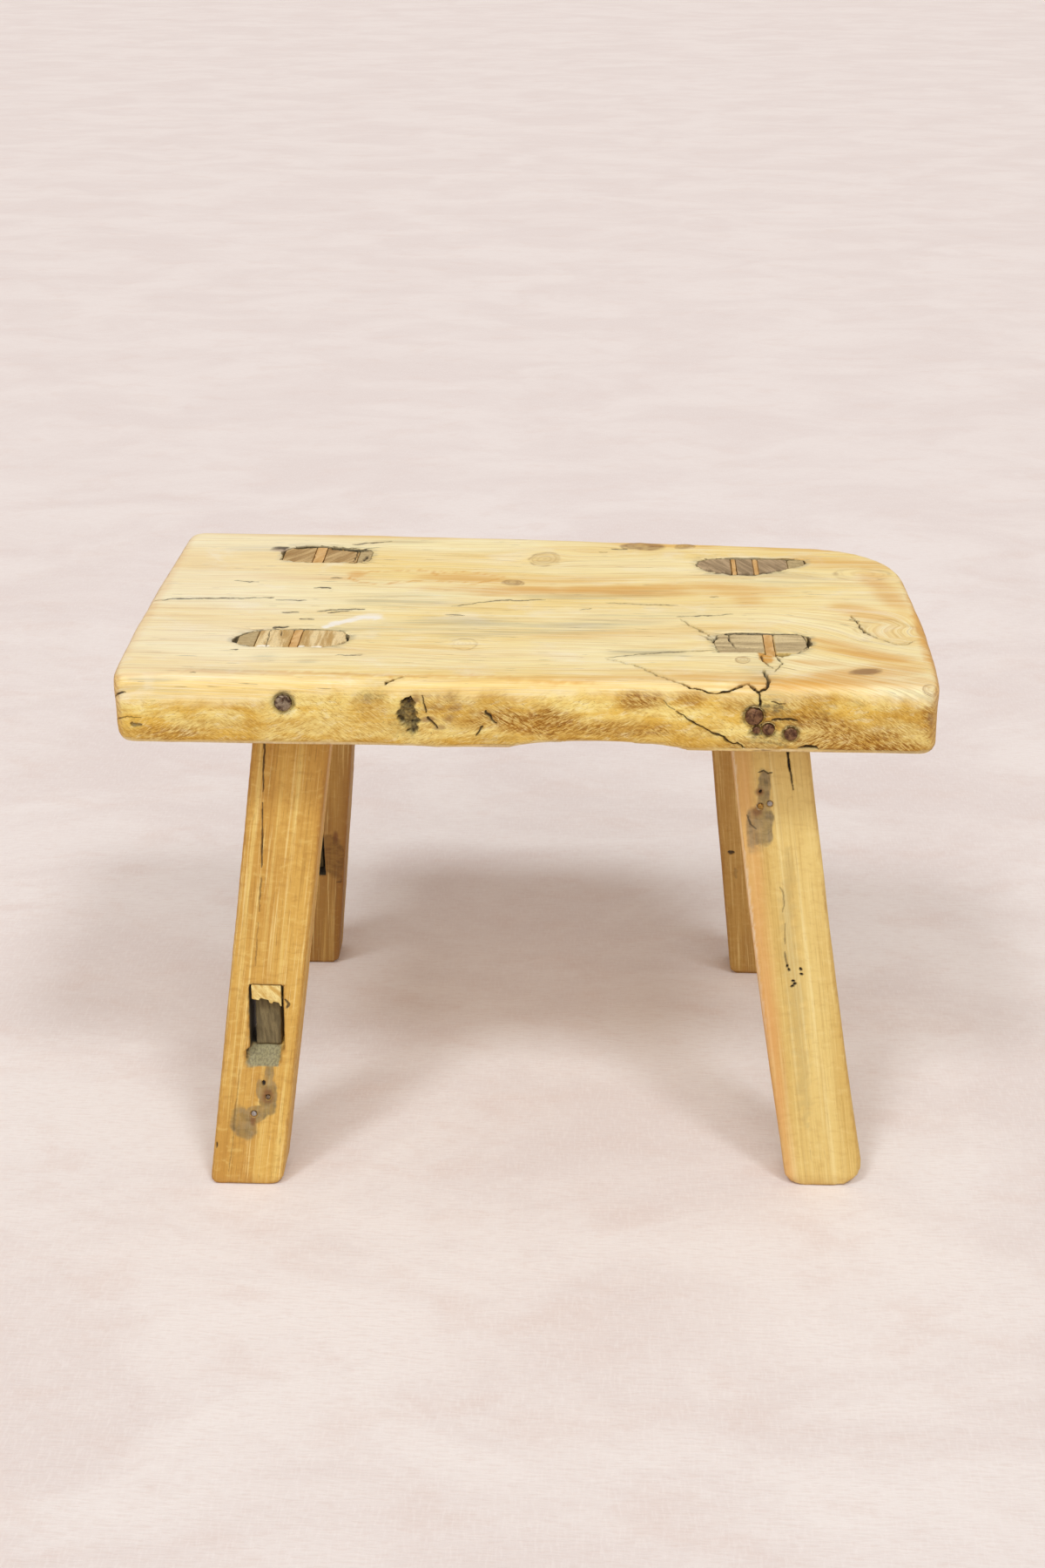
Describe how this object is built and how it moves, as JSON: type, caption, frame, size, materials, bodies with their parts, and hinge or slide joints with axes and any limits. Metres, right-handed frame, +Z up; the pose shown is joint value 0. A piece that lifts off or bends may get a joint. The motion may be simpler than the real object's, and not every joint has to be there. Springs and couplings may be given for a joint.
{
  "type": "milking stool",
  "caption": "Low rustic wooden stool: a thick hewn slab seat on splayed legs with wedged through tenons and hand-made nails.",
  "frame": {"origin": "on the floor, under the middle of the stool's overall box", "axes": "+X along the seat towards its right end, +Y to the back, +Z up"},
  "size_m": [0.421, 0.2736, 0.295],
  "materials": {
    "seat": "bare scrubbed elm, hewn front edge, dry and matt",
    "leg": "bare honey-coloured softwood, straight grain, matt",
    "wedge": "split hardwood end grain, dry",
    "slip": "aged softwood packing, dry and cracked",
    "stub": "dark weathered end grain",
    "key": "freshly broken pale wood",
    "iron": "wrought iron, dark and rusted, rubbed on the crown",
    "steel": "dull grey nail head",
    "brass": "dull yellow nail head"
  },
  "bodies": {
    "root": {"seat_slab": "seat", "leg_front_left": "leg", "leg_front_right": "leg", "leg_back_left": "leg", "leg_back_right": "leg", "wedge_front_left": "wedge", "wedge_front_right": "wedge", "wedge_back_left": "wedge", "wedge_back_right_1": "wedge", "wedge_back_right_2": "wedge", "slip_front_left": "slip", "slip_back_left": "slip", "slip_back_right": "slip", "rail_stub_front_left": "stub", "rail_stub_back_left": "stub", "rail_key_front_left": "key", "nail_front_left": "iron", "nail_front_right_1": "iron", "nail_front_right_2": "iron", "nail_front_right_3": "iron", "nail_front_right_4": "iron", "nail_leg_front_left_1": "steel", "nail_leg_front_left_2": "iron", "nail_leg_front_right_1": "brass", "nail_leg_front_right_2": "steel", "nail_seat_top": "steel"}
  },
  "joints": []
}
